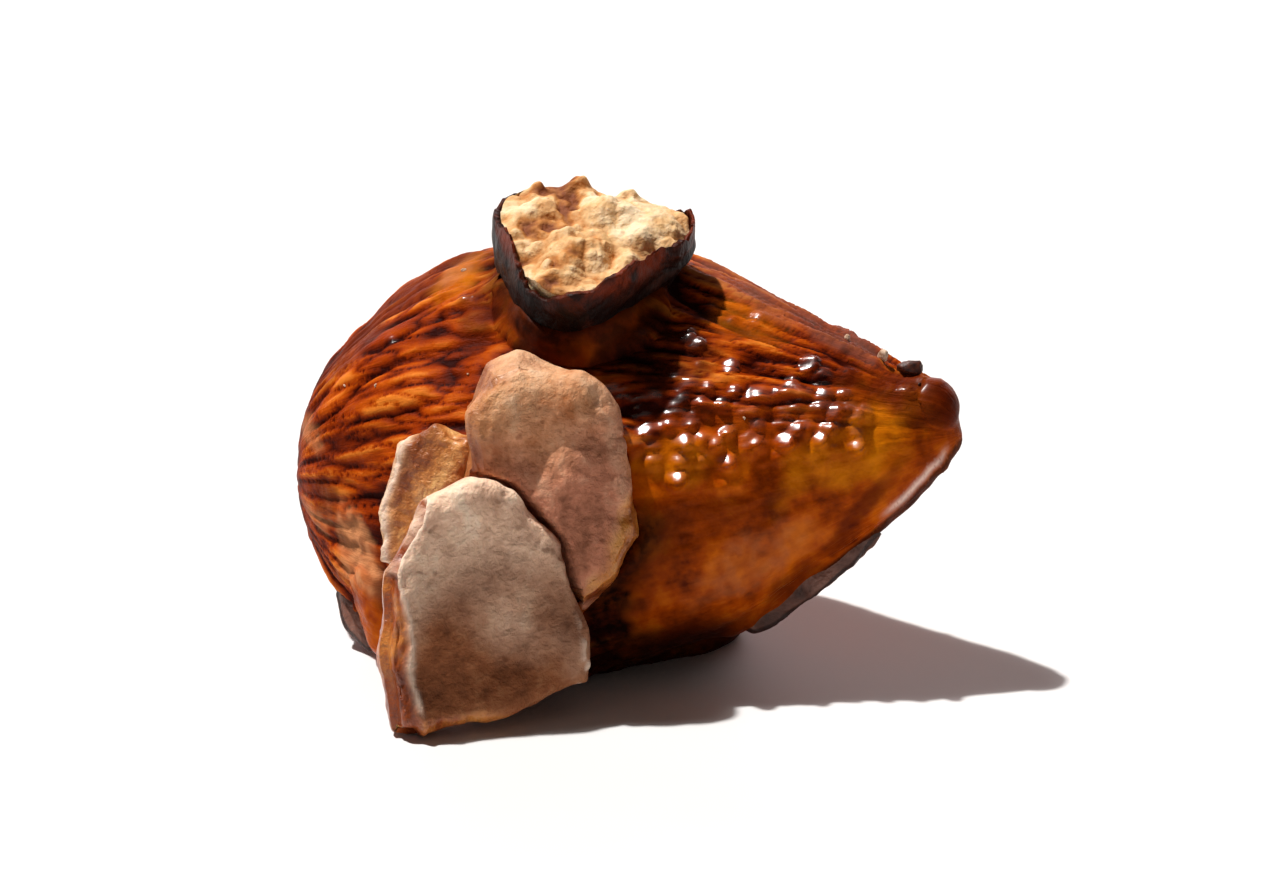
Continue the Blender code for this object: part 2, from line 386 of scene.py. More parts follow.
def wrinkles(units, rounds, lengths, seed):
    """Uneven branching ridges along the kernel with narrow grooves: 0 in a groove, 1 on a ridge."""
    return np.minimum(1, 3 * np.abs(noise_at(around(units, rounds, lengths), seed=seed))) ** 0.7


def kernel_shape(rings, segments):
    shape = bmesh.new()
    lie_down = Matrix.Rotation(math.radians(90), 4, "Y")
    bmesh.ops.create_uvsphere(shape, u_segments=segments, v_segments=rings, radius=1, matrix=lie_down)
    units = np.array([vert.co for vert in shape.verts])
    for vert, point in zip(shape.verts, kernel_points(units)):
        vert.co = point
    shape.transform(KERNEL_MATRIX)
    return shape


def add_lobe(shape, middle, half_size):
    lobe = bmesh.ops.create_uvsphere(shape, u_segments=64, v_segments=40, radius=1)
    stretch = Matrix.Translation(middle) @ Matrix.Diagonal((*half_size, 1))
    bmesh.ops.transform(shape, matrix=stretch, verts=lobe["verts"])


def node_tree_of(name):
    """For nearest-point searches on a node of the part, in millimetres."""
    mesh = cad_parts[name].data
    return BVHTree.FromPolygons([v.co / MM for v in mesh.vertices], [p.vertices[:] for p in mesh.polygons])


def distances(tree, points, reach):
    """Each point's distance to a surface, or reach where it is further away."""
    found = [tree.find_nearest(point, reach)[3] for point in points.tolist()]
    return np.array([reach if one is None else one for one in found])


COAT_FACE = 0.121
COAT_SMOOTHING = 10
COAT_THICKNESS = 0.16
LUMP_HEIGHT = 0.08
RIPPLE_HEIGHT = 0.03
WRINKLE_HEIGHT = 0.16
STREAK_HEIGHT = 0.13
FINE_WRINKLE_HEIGHT = 0.07
# The level up to which the caramel pooled over the skin, and how far it smooths the skin's relief.
POOL_LEVEL = 9.9
POOL_SMOOTHS = 0.85
CLING_HEIGHT = 0.35
CLING_REACH = 0.45
# Small beads strewn over the glinting band, and over the rest of the coat.
BAND_BEADS = 70
OTHER_BEADS = 130
BEAD_RADIUS = (0.36, 0.7)
BEAD_STEEPNESS = (0.3, 0.5)

# Patches of tone on the front of the caramel: the middle along X and up the camera's picture, the half
# sizes along and across, the turn in degrees, and the strength.
# Painted shade: the nut end's cast shadow on the caramel below it and round its foot, and the dark gap
# beside the slab.
SHADED_PATCHES = (
    (1.0, 10.2, 2.6, 1.9, 0, 0.9),
    (-2.2, 11.2, 2.2, 1.0, -25, 0.95),
    (0.4, 10.9, 2.2, 0.8, 0, 0.9),
    (0.1, 0.6, 1.1, 2.6, 0, 1.0),
)
MAHOGANY_PATCHES = (
    (10.5, 8.5, 2.7, 0.75, -20, 0.9),
    (-9.0, 6.8, 2.2, 1.1, 35, 0.35),
    (-9.2, 10.9, 2.8, 0.9, 56, 0.8),
    (-6.6, 13.1, 3.2, 0.75, 37, 0.75),
    (7.3, 8.2, 1.6, 0.35, -5, 0.7),
    (-4.7, 11.3, 0.7, 1.3, 0, 0.8),
    (8.4, 10.3, 1.5, 0.5, -30, 0.6),
    (-10.3, 5.2, 0.8, 0.5, -60, 0.8),
    (-7.9, 1.8, 0.5, 1.7, 0, 0.6),
    (4.4, 4.7, 1.6, 0.6, 10, 0.5),
    (6.6, 2.2, 1.6, 0.4, 39, 0.8),
    (9.0, 4.6, 2.4, 0.35, 49, 0.8),
    (2.6, 0.2, 2.6, 0.5, 15, 0.7),
)
GOLD_PATCHES = (
    (8.7, 6.7, 3.0, 1.1, 30, 0.9),
    (2.4, 6.3, 1.6, 0.9, 0, 0.8),
    (-5.3, 12.7, 1.5, 0.5, 35, 0.8),
    (5.0, 11.3, 1.7, 0.8, -20, 0.3),
)
# Painted sheen: pale patches standing in for the floor's reflection on the left end, the lower left and the
# lower right, and a painted highlight beside the nut end.
PALE_PATCHES = (
    (-9.1, 3.2, 2.3, 0.75, -63, 0.9),
    (-10.6, 7.3, 0.7, 0.4, -70, 0.5),
    (-5.5, 12.9, 1.0, 0.25, 35, 0.35),
    (-10.6, 4.4, 0.9, 0.3, -60, 0.6),
    (5.2, 2.9, 2.6, 0.9, 28, 0.22),
)
# The largest beads of caramel: along X, up the camera's picture, and the radius.
LARGE_BEADS = (
    (0.1, 8.75, 0.42), (1.0, 8.35, 0.38), (1.6, 8.55, 0.34), (2.8, 10.75, 0.34), (3.25, 10.5, 0.34),
    (4.4, 9.75, 0.36), (7.2, 9.65, 0.44), (6.6, 9.15, 0.3), (2.6, 8.45, 0.3), (4.1, 8.35, 0.3),
    (3.0, 7.75, 0.3), (1.4, 7.5, 0.34), (2.7, 7.05, 0.38), (3.8, 7.05, 0.34), (4.3, 7.45, 0.3),
    (5.3, 7.05, 0.34), (6.35, 7.1, 0.42), (6.75, 7.5, 0.38), (7.5, 7.1, 0.36), (7.9, 7.55, 0.34),
    (8.1, 8.05, 0.42), (8.9, 7.9, 0.38), (8.9, 6.95, 0.36), (2.5, 5.75, 0.42), (4.3, 6.35, 0.34),
    (4.5, 8.85, 0.28), (3.6, 8.9, 0.28),
)
BEAD_SPREAD = 1.15
BEAD_LEVEL_SHARE = 0.58
BEAD_LIFT = 0.06
BEAD_CURVE = 0.22
BEAD_BLEND = 0.15

# The thickened edge of caramel under the tip, and how thick it is at each of its points.
FLANGE = (
    ((12.2, -3.0, 8.3), 0.1),
    ((11.1, -3.4, 7.0), 0.1),
    ((9.7, -3.45, 5.9), 0.2),
    ((8.2, -3.6, 4.8), 0.35),
    ((6.2, -3.55, 3.3), 0.45),
    ((4.3, -3.6, 2.1), 0.4),
)
FLANGE_REACH = 0.6

# Sides of the outline in the camera's picture, each from its start to its end with the outside on the right.
LOWER_RIGHT = ((4.6, 0), (12.3, 7.5))
UPPER_RIGHT = ((10.6, 10.0), (2.6, 13.9))
UPPER_LEFT = ((-3.6, 14.6), (-10.4, 9.6))
EDGE_CELLS = 60
# The painted reflection: a pale line just inside the lower right outline, how far in it lies and how wide it
# is.
PALE_LINE_INSET = 0.42
PALE_LINE_WIDTH = 0.1


def picture_rise(points):
    """How high points are up the camera's picture."""
    return points[:, 2] * math.cos(CAMERA_ELEVATION) + points[:, 1] * math.sin(CAMERA_ELEVATION)


def facing_camera(outward):
    return outward[:, 2] * math.sin(CAMERA_ELEVATION) - outward[:, 1] * math.cos(CAMERA_ELEVATION)


def flange(points):
    """How much the caramel's edge thickens at each point."""
    height = np.zeros(len(points))
    for (start, first), (end, last) in zip(FLANGE, FLANGE[1:]):
        start = np.array(start)
        side = np.array(end) - start
        share = np.clip((points - start) @ side / (side @ side), 0, 1)
        apart = np.linalg.norm(points - start - share[:, None] * side, axis=1)
        thickness = first + (last - first) * share
        height = np.maximum(height, thickness * hump(apart / FLANGE_REACH))
    return height


def swells(points):
    """How far the caramel swells out or dips in at its two ends."""
    height = np.zeros(len(points))
    for middle, reach, rise in END_SWELLS:
        apart = np.linalg.norm(points - middle, axis=1)
        height += rise * hump(apart / reach)
    return height


def inset_from_edge(points, start, end):
    """How far points lie in from a side of the outline in the picture, and how far along it."""
    start = np.array(start)
    side = np.array(end) - start
    length = np.linalg.norm(side)
    side = side / length
    spots = np.column_stack((points[:, 0], picture_rise(points))) - start
    along = spots @ side / length
    out = spots @ np.array((side[1], -side[0]))
    cell = np.clip((along * EDGE_CELLS).astype(int), 0, EDGE_CELLS - 1)
    farthest = np.full(EDGE_CELLS, -20.0)
    np.maximum.at(farthest, cell, np.where((along > 0) & (along < 1), out, -20.0))
    middles = (np.arange(EDGE_CELLS) + 0.5) / EDGE_CELLS
    return np.interp(along, middles, farthest) - out, along


def hazy_edge(points, side):
    """How far each point lies in the band of painted sheen along a side of the outline."""
    inset, along = inset_from_edge(points, *side)
    ragged = 0.25 * noise_at(points, 0.7, 68)
    return smoothstep(1.0, 0.6, inset + ragged) * smoothstep(0.0, 0.15, along) * smoothstep(1.0, 0.85, along)


def tucked_behind(points, flake, depth, spread=0.97):
    """Moves points that come out through the front of a broken piece back into it."""
    matrix = placed(flake.turn, flake.place)
    local = transformed(points, matrix.inverted())
    outline = np.array(flake.outline)
    middle = outline.mean(axis=0)
    reach = np.linalg.norm(local[:, :2] - middle, axis=1)
    in_outline = inside_outline(local[:, :2], middle + (outline - middle) * spread)
    hidden = in_outline & (local[:, 2] > depth) & (reach < 8)
    local[hidden, 2] = depth
    return transformed(local, matrix)


def inside_outline(points, corners):
    """Which points lie inside a polygon, by counting the sides that each point's level crosses."""
    inside = np.zeros(len(points), bool)
    x, y = points[:, 0], points[:, 1]
    for (x0, y0), (x1, y1) in zip(corners, np.roll(corners, -1, axis=0)):
        crosses = (y0 > y) != (y1 > y)
        side = x < (x1 - x0) * (y - y0) / ((y1 - y0) or 1e-9) + x0
        inside ^= crosses & side
    return inside


def patches(points, outward, table, seed):
    """How far each point lies in one of the patches on the front, whose edges are uneven."""
    wander = 0.45 * noise_at(points, 1.1, seed) + 0.2 * noise_at(points, 0.45, seed + 1)
    x = points[:, 0]
    rise = picture_rise(points)
    share = np.zeros(len(points))
    for middle, middle_rise, half_length, half_width, turn, strength in table:
        cosine = math.cos(math.radians(turn))
        sine = math.sin(math.radians(turn))
        along = (x - middle) * cosine + (rise - middle_rise) * sine
        across = (rise - middle_rise) * cosine - (x - middle) * sine
        apart = np.hypot(along / half_length, across / half_width)
        share = np.maximum(share, strength * (1 - smoothstep(0.5, 1.25, apart + wander)))
    return share * smoothstep(-0.05, 0.2, facing_camera(outward))


def beads(points, centres, seed, size=1.0):
    """The height of round beads of caramel."""
    chance = np.random.default_rng(seed)
    height = np.zeros(len(points))
    for centre in centres:
        radius = size * chance.uniform(*BEAD_RADIUS)
        steepness = chance.uniform(*BEAD_STEEPNESS)
        near = np.flatnonzero(np.abs(points - centre).max(axis=1) < radius)
        apart = np.linalg.norm(points[near] - centre, axis=1) / radius
        dome = np.maximum(0, 1 - apart * apart) ** 2 * radius * steepness
        height[near] = np.maximum(height[near], dome)
    return height


def scattered(points, weights, count, seed):
    chance = np.random.default_rng(seed)
    return points[chance.choice(len(points), count, replace=False, p=weights / weights.sum())]


def glinting_beads(points, outward):
    """Beads whose tops lie level across the light's mirror direction, so that each shows a glint."""
    light = np.array(LIGHT_FROM.normalized())
    to_camera = np.array((0, -math.cos(CAMERA_ELEVATION), math.sin(CAMERA_ELEVATION)))
    half_way = (light + to_camera) / np.linalg.norm(light + to_camera)
    front = np.flatnonzero(facing_camera(outward) > 0.1)
    rise = picture_rise(points)
    height = np.zeros(len(points))
    for x, middle_rise, radius in LARGE_BEADS:
        radius *= BEAD_SPREAD
        centre = front[np.argmin(np.hypot(points[front, 0] - x, rise[front] - middle_rise))]
        level = half_way @ outward[centre]
        lean = (half_way / level - outward[centre])
        slope = np.linalg.norm(lean)
        near = np.flatnonzero(np.abs(points - points[centre]).max(axis=1) < radius)
        offset = points[near] - points[centre]
        apart = np.linalg.norm(offset, axis=1) / radius
        top = BEAD_LIFT + slope * radius * BEAD_LEVEL_SHARE - offset @ lean
        top = top - BEAD_CURVE * radius * apart * apart
        height[near] = np.maximum(height[near], top * (1 - smoothstep(BEAD_LEVEL_SHARE, 1, apart)))
    return height


Coat = namedtuple("Coat", "points outward local units on_kernel away edge pooled lumps")
Pattern = namedtuple("Pattern", "big middle small streaks")
Beading = namedtuple("Beading", "height shine")


def smooth_coat():
    """The smooth kernel with its lobes as one mesh, and what its points are like and near to."""
    smooth_kernel = kernel_shape(96, 160)
    kernel_tree = BVHTree.FromBMesh(smooth_kernel)
    for middle, half_size in (FOOT, BLUNT_LOBE, WEB, COLLAR, TIP_BURR):
        add_lobe(smooth_kernel, middle, half_size)
    mesh = even_mesh(smooth_kernel, COAT_FACE, COAT_SMOOTHING)
    points = positions(mesh)
    local = transformed(points, KERNEL_MATRIX.inverted())
    on_kernel = 1 - smoothstep(0.1, 0.9, distances(kernel_tree, points, 2.0))
    edge = 1.4 * noise_at(points, 2.5, 3)
    pooled = smoothstep(-1.0, 1.4, POOL_LEVEL + edge - points[:, 2])
    pooled = pooled * smoothstep(-2, 1.5, points[:, 0] + edge)
    return mesh, Coat(
        points=points,
        outward=normals(mesh),
        local=local,
        units=kernel_units(local),
        on_kernel=on_kernel,
        away={name: distances(node_tree_of(name), points, 3.0) for name in NUT_NODES},
        edge=edge,
        pooled=np.maximum(pooled, 1 - on_kernel),
        lumps=noise_at(points, 1.3, 5),
    )


def skin_pattern(coat):
    """The skin's ridges, wrinkles and streaks, each from 0 in a groove to 1 on a ridge."""
    bend = 0.6 * noise_at(coat.points, 2.4, 7)
    streaks = noise_at(around(coat.units, 14, 5) + bend[:, None], seed=8)
    return Pattern(
        big=main_ridges(coat.units),
        middle=wrinkles(coat.units, 7, 3, 1),
        small=wrinkles(coat.units, 18, 8, 2),
        streaks=np.clip(0.5 + 0.9 * streaks, 0, 1),
    )


def skin_relief(coat, pattern):
    """The height of the skin's pattern, which fades where caramel pooled and at both ends."""
    bare = 1 - POOL_SMOOTHS * coat.pooled
    ends = (1 - smoothstep(0.9, 1.0, coat.units[:, 0])) * (1 - smoothstep(0.8, 0.97, -coat.units[:, 0]))
    height = SWELL_HEIGHT * noise_at(coat.local, SWELL_SIZE)
    height += RIDGE_HEIGHT * (pattern.big * bare + 0.6 * (1 - bare)) * coat.on_kernel
    height += WRINKLE_HEIGHT * (pattern.middle - 0.6) * bare * coat.on_kernel * ends
    height += STREAK_HEIGHT * (pattern.streaks - 0.5) * bare * coat.on_kernel * ends
    height += FINE_WRINKLE_HEIGHT * (pattern.small - 0.6) * bare * coat.on_kernel * ends
    return height


def coat_beads(coat):
    """The beads of caramel: their height, and how strongly each point of them shines."""
    points = coat.points
    x = points[:, 0]
    rise = picture_rise(points)
    banded = smoothstep(5.6, 6.6, rise) * smoothstep(9.6, 8.6, rise)
    banded *= smoothstep(-0.6, 0.4, x) * smoothstep(9.8, 8.0, x) * (coat.outward[:, 1] < -0.2)
    bare = 1 - POOL_SMOOTHS * coat.pooled
    glinting = glinting_beads(points, coat.outward)
    in_band = beads(points, scattered(points, banded + 1e-4, BAND_BEADS, 41), 51, 0.8)
    elsewhere = scattered(points, bare * smoothstep(-3, 1, x) + 0.1, OTHER_BEADS, 42)
    elsewhere = beads(points, elsewhere, 53, 0.7) * 0.6
    small_beads = np.maximum(in_band, elsewhere)
    in_glinting = smoothstep(0, BEAD_BLEND, glinting)
    return Beading(
        height=in_glinting * glinting + (1 - in_glinting) * np.maximum(glinting, small_beads),
        shine=np.clip((glinting + in_band) * 9 + elsewhere * 1.5, 0, 1),
    )


def darkness(coat, rim):
    """Painted shade on the coat: beneath, in the gaps, beside the nut end and along the lower rim."""
    x, _, z = coat.points.T
    near_flat = np.minimum(coat.away["nut_slab"], np.where(z < 7.5, coat.away["nut_chunk"], 3.0))
    under = smoothstep(3.4, 1.6, z + 0.4 * coat.edge) * (x > -7)
    gap = hump(near_flat / 1.1) * smoothstep(8.0, 6.5, z) * smoothstep(-2.5, -0.5, x)
    shade = hump(coat.away["nut_end"] / 1.0)
    shaded = patches(coat.points, coat.outward, SHADED_PATCHES, 61)
    return np.maximum.reduce([0.95 * under, 0.95 * gap, 0.9 * shade, shaded, 0.9 * rim])


def paint_coat(mesh, coat, pattern, beading, moved):
    """Keeps the tones of the coat's points for its material, with its painted shade, sheen and reflections.
    """
    points, outward = coat.points, coat.outward
    in_front = facing_camera(outward) > -0.1
    inset, along_edge = inset_from_edge(moved, *LOWER_RIGHT)
    # Painted shade: darkest beneath, in the gaps, beside the nut end and along the lower rim.
    dark = darkness(coat, smoothstep(0.32, 0.18, inset) * smoothstep(0.3, 0.4, along_edge) * in_front)
    # Painted reflection: a pale line just inside the lower right outline.
    edge_line = hump((inset - PALE_LINE_INSET) / PALE_LINE_WIDTH) * in_front
    edge_line *= smoothstep(0.62, 0.72, along_edge) * smoothstep(0.98, 0.9, along_edge)
    # Painted sheen along the upper outline, standing in for the grazing reflection of the bright wall.
    haze = np.maximum(hazy_edge(moved, UPPER_RIGHT), 0.25 * hazy_edge(moved, UPPER_LEFT)) * in_front
    mottled = 0.5 + 0.5 * smoothstep(-0.25, 0.25, noise_at(points, 0.4, 66))
    grooves = 0.3 * (1 - pattern.small) ** 3 + 0.3 * (1 - pattern.middle) ** 3
    ridges = 0.5 * pattern.streaks + 0.25 * pattern.middle + 0.25 * pattern.small + 0.1 * pattern.big
    set_attributes(
        mesh,
        haze=haze * (0.75 + 0.25 * coat.lumps),
        dark=dark,
        gold=patches(points, outward, GOLD_PATCHES, 63) * (1 - dark),
        mahogany=patches(points, outward, MAHOGANY_PATCHES, 62),
        edge_line=edge_line,
        # pale holds the painted sheen patches: the floor's reflection and a highlight.
        pale=patches(points, outward, PALE_PATCHES, 65) * (1 - dark) * mottled,
        grain=around(coat.units, 1, 1),
        crest=ridges - grooves,
        pooled=coat.pooled,
        pole=smoothstep(-0.88, -0.985, coat.units[:, 0] + 0.02 * coat.lumps),
        beaded=beading.shine * smoothstep(0.45, 0.62, normals(mesh)[:, 2]),
    )


def make_coat():
    """The kernel in its caramel, with the caramel that clings to the pieces."""
    mesh, coat = smooth_coat()
    pattern = skin_pattern(coat)
    beading = coat_beads(coat)
    near = np.minimum.reduce(list(coat.away.values()))
    height = skin_relief(coat, pattern)
    height += flange(coat.points)
    height += swells(coat.points)
    ripple = noise_at(coat.points, 0.5, 6)
    height += COAT_THICKNESS * coat.on_kernel + LUMP_HEIGHT * coat.lumps + RIPPLE_HEIGHT * ripple
    height += CLING_HEIGHT * hump(near / CLING_REACH) * (1 + 0.5 * coat.lumps)
    height += beading.height
    moved = coat.points + coat.outward * height[:, None]
    moved = tucked_behind(moved, SLAB, -0.4)
    moved = tucked_behind(moved, CHUNK, -0.6)
    moved[:, 2] = np.maximum(moved[:, 2], 0)
    set_positions(mesh, moved)
    paint_coat(mesh, coat, pattern, beading, moved)
    finished("caramel_coat", mesh, caramel_surface(), "caramel_coat", "candied_almond")
    return moved, coat.outward


# Flat broken pieces.

FLAKE_FACE = 0.085
SCRAP_FACE = 0.075
FLAKE_SMOOTHING = 3


def outline_shape(outline, thickness, rounding):
    """A flat body with rounded edges from its outline."""
    curve = bpy.data.curves.new("outline", "CURVE")
    curve.dimensions = "2D"
    curve.fill_mode = "BOTH"
    curve.extrude = thickness / 2 - rounding
    curve.bevel_depth = rounding
    curve.bevel_resolution = 2
    curve.offset = -rounding
    spline = curve.splines.new("POLY")
    spline.points.add(len(outline) - 1)
    spline.use_cyclic_u = True
    for point, (x, y) in zip(spline.points, outline):
        point.co = (x, y, 0, 1)
    drawn = add_object("outline", curve)
    shape = bmesh.new()
    shape.from_mesh(evaluated_mesh(drawn))
    bpy.data.objects.remove(drawn)
    bmesh.ops.remove_doubles(shape, verts=shape.verts, dist=0.01)
    bmesh.ops.recalc_face_normals(shape, faces=shape.faces)
    return shape


def broken_mesh(flake, face_size, grit, bitten):
    """A broken piece's mesh in its own frame: uneven faces, bitten edges and a gritty surface."""
    shape = outline_shape(flake.outline, flake.thickness, flake.rounding)
    mesh = even_mesh(shape, face_size, FLAKE_SMOOTHING)
    points = positions(mesh)
    outward = normals(mesh)
    seed = len(flake.outline)
    uneven = noise_at(points + seed * np.array((1, 2, 3)) * ROUGHNESS_SIZE, ROUGHNESS_SIZE)
    edge = 2 * np.abs(outward[:, 2]) * np.sqrt(np.clip(1 - outward[:, 2] ** 2, 0, 1))
    bites = np.maximum(0, noise_at(points, 0.8, seed) - 0.05) * edge
    facets = np.abs(noise_at(points, 1.3, seed + 1))
    grains = noise_at(points, 0.38, seed + 2)
    fine = noise_at(points, 0.2, seed + 3)
    height = flake.roughness * uneven - bitten * bites - 0.3 * grit * (0.5 - facets)
    height += grit * (0.09 * grains + 0.05 * fine)
    set_positions(mesh, points + outward * height[:, None])
    set_attributes(mesh, worn=edge)
    return mesh, points, outward


def placed_mesh(mesh, flake):
    mesh.transform(placed(flake.turn, flake.place))
    return mesh


def place_behind_slab(mesh, flake, points):
    """Puts a broken piece in its place, so that it doesn't come out through the slab before it."""
    set_positions(mesh, transformed(points, placed(flake.turn, flake.place)))
    set_positions(mesh, tucked_behind(positions(mesh), SLAB, -1.0, 1.05))


def side_at(points, corners):
    """Where the side through these corners of an outline lies, at each point's level."""
    corners = corners[np.argsort(corners[:, 1])]
    return np.interp(points[:, 1], corners[:, 1], corners[:, 0])


def left_of(points, flake):
    """How far points lie in from the left side of a broken piece's outline."""
    outline = np.array(flake.outline)
    return points[:, 0] - side_at(points, outline[outline[:, 0] < 0.4 * outline[:, 0].max()])


def right_of(points, flake):
    """How far points lie in from the right side of a broken piece's outline."""
    outline = np.array(flake.outline)
    return side_at(points, outline[outline[:, 0] > 0.6 * outline[:, 0].max()]) - points[:, 0]


def make_slab():
    """The dusty slab: caramel on its left side and its foot, and pale chipped edges."""
    mesh, points, outward = broken_mesh(SLAB, FLAKE_FACE, 0.3, 0.3)
    y = points[:, 1]
    z = points[:, 2]
    wander = 0.4 * noise_at(points, 0.9, 9) + 0.12 * noise_at(points, 0.35, 10)
    from_left = left_of(points, SLAB)
    strip = 0.75 * smoothstep(6.4, 2.6, y)
    left = 1 - smoothstep(-0.12, 0.1, from_left - strip + 0.5 * wander)
    foot = 1 - smoothstep(0.25, 0.55, y + 0.5 * wander)
    behind = 1 - smoothstep(-0.6, -0.3, z + 0.5 * wander)
    line = hump((from_left - strip - 0.14 + 0.45 * wander) / 0.1) * (z > 0)
    chips = smoothstep(0.55, 0.2, right_of(points, SLAB)) * smoothstep(4.0, 2.5, y)
    chips *= smoothstep(0.0, 0.25, noise_at(points, 0.5, 14))
    moved = positions(mesh)
    moved += outward * (-0.3 * left * (z > 0) + 0.05 * chips + 0.07 * line)[:, None]
    set_positions(mesh, moved)
    set_attributes(
        mesh,
        candied=np.maximum.reduce([left, foot, behind]),
        chip=np.maximum(0.9 * line * smoothstep(0.3, 1.2, y), chips) * (z > -0.3),
        upper=smoothstep(1.8, 7.0, y + 2.2 * noise_at(points, 2.4, 15) + 1.2 * wander),
    )
    surface = nut_surface(
        "dusty_nut",
        ((0.15, 0.043, 0.012), (0.29, 0.092, 0.03), (0.43, 0.175, 0.074)),
        ((0.65, 0.38, 0.25), (0.90, 0.60, 0.42), (0.97, 0.76, 0.57)),
        ((0.10, 0.012, 0.001), (0.32, 0.06, 0.006), (0.66, 0.24, 0.05)),
    )
    finished("nut_slab_dressed", placed_mesh(mesh, SLAB), surface, "nut_flesh", "nut_slab")


def make_chunk():
    """The pinkish chunk: paler and more golden towards its top, partly its own tone and partly painted
    light, and amber at its lower right corner and its left side.
    """
    mesh, points, outward = broken_mesh(CHUNK, FLAKE_FACE, 0.35, 0.35)
    x, y, z = points.T
    wander = 0.7 * noise_at(points, 1.2, 10) + 0.15 * noise_at(points, 0.4, 11)
    corner = smoothstep(-0.25, 0.35, x - 4.5 - 0.33 * y + 0.7 * wander) * smoothstep(6.2, 5.0, y)
    left = smoothstep(1.5, 0.3, left_of(points, CHUNK) + 0.6 * wander) * smoothstep(9.2, 8.2, y)
    behind = 1 - smoothstep(-1.1, -0.7, z + 0.4 * wander)
    crease = hump((y - 6.0 - 0.9 * wander) / 0.16) * smoothstep(3.0, 4.4, x)
    moved = positions(mesh) + outward * (-0.08 * crease - 0.07 * corner)[:, None]
    place_behind_slab(mesh, CHUNK, moved)
    set_attributes(
        mesh,
        candied=np.maximum.reduce([corner, 0.7 * left, behind]),
        # Partly painted light: paler at the very top, and the upper tones towards the top left, where the
        # light falls.
        chip=0.15 * smoothstep(8.4, 9.0, y + 0.4 * wander),
        upper=smoothstep(3.2, 7.4, y - 0.25 * x + 1.6 * noise_at(points, 2.0, 16)),
    )
    surface = nut_surface(
        "pink_nut",
        ((0.27, 0.095, 0.047), (0.54, 0.205, 0.115), (0.66, 0.33, 0.20)),
        # Upper tones: partly painted light on the chunk's top.
        ((0.46, 0.16, 0.05), (0.70, 0.36, 0.18), (0.78, 0.50, 0.31)),
        ((0.20, 0.035, 0.003), (0.48, 0.15, 0.018), (0.68, 0.30, 0.06)),
    )
    finished("nut_chunk_dressed", mesh, surface, "nut_flesh", "nut_chunk")


def make_sliver():
    """The candied sliver, with a pale edge on its left."""
    mesh, points, _ = broken_mesh(SLIVER, FLAKE_FACE, 0.6, 0.4)
    z = points[:, 2]
    from_left = left_of(points, SLIVER)
    inner = smoothstep(0.35, 0.9, from_left + 0.25 * noise_at(points, 0.8, 11))
    place_behind_slab(mesh, SLIVER, positions(mesh))
    set_attributes(
        mesh,
        candied=np.maximum(0.85 * inner, z < -0.3),
        chip=hump((from_left - 0.3) / 0.2) * (z > -0.3),
        upper=smoothstep(-0.6, 0.6, noise_at(points * (1, 0.35, 1), 0.6, 17)),
    )
    surface = nut_surface(
        "sliver_nut",
        ((0.20, 0.055, 0.012), (0.45, 0.17, 0.05), (0.7, 0.36, 0.16)),
        ((0.50, 0.20, 0.06), (0.75, 0.38, 0.16), (0.88, 0.6, 0.36)),
        ((0.26, 0.055, 0.006), (0.56, 0.20, 0.04), (0.78, 0.42, 0.14)),
    )
    finished("nut_sliver_dressed", mesh, surface, "nut_flesh", "nut_sliver")


def make_scrap(flake):
    """A thin curled scrap of skin."""
    mesh, points, _ = broken_mesh(flake, SCRAP_FACE, 0.5, 0.3)
    bent = positions(mesh)
    bent[:, 2] = 0.5 * bent[:, 2] + 0.4 * noise_at(points, 1.8, 12)
    set_positions(mesh, bent)
    finished(flake.name, placed_mesh(mesh, flake), scrap_surface(), "nut_skin", "candied_almond")


# Bits of skin and nut on the caramel: where each lies, its half sizes, 1 for pale or 0 for dark, and
# how far it stands off.
CRUMBS = (
    ((11.2, -1.9, 12.0), (0.5, 0.3, 0.28), 0, 0.24),
    ((10.3, -1.7, 12.1), (0.4, 0.2, 0.12), 1, 0.12),
    ((8.9, -0.9, 12.4), (0.13, 0.11, 0.1), 1, 0.05),
)
LOOSE_CRUMBS = 9


def add_crumb(shape, tone_layer, place, half_size, pale, seed):
    """A lumpy crumb, turned its own way."""
    grown = bmesh.ops.create_icosphere(shape, subdivisions=3, radius=1)
    turn = Euler((seed * 1.3, seed * 0.7, seed * 2.1)).to_matrix().to_4x4()
    matrix = Matrix.Translation(place) @ turn @ Matrix.Diagonal((*half_size, 1))
    for vert in grown["verts"]:
        lump = 1 + 0.35 * noise.noise(vert.co * 1.6 + Vector((seed, 0, 0)))
        vert.co = matrix @ (vert.co * lump)
        vert[tone_layer] = pale


def make_crumbs(points, outward):
    """Crumbs at their own places near the tip, and a few loose ones on the top of the coat."""
    chance = np.random.default_rng(71)
    tree = BVHTree.FromPolygons(*coat_faces())
    shape = bmesh.new()
    tone_layer = shape.verts.layers.float.new("pale")
    for i, (place, half_size, pale, lift) in enumerate(CRUMBS):
        found, direction, _, _ = tree.find_nearest(Vector(place))
        add_crumb(shape, tone_layer, found + direction * lift, half_size, pale, i)
    away = [distances(node_tree_of(name), points, 1.0) for name in NUT_NODES]
    open_coat = (points[:, 2] > 9.5) & (outward[:, 2] > -0.3) & (np.minimum.reduce(away) > 0.9)
    for i, centre in enumerate(scattered(points[open_coat], np.ones(open_coat.sum()), LOOSE_CRUMBS, 72)):
        size = chance.uniform(0.04, 0.08)
        half_size = (size * chance.uniform(1, 1.8), size, size * 0.8)
        pale = float(chance.random() < 0.7)
        add_crumb(shape, tone_layer, Vector(centre), half_size, pale, i + 10)
    mesh = mesh_of(shape, "crumbs")
    finished("skin_crumbs", mesh, crumb_surface(), "nut_skin", "candied_almond")


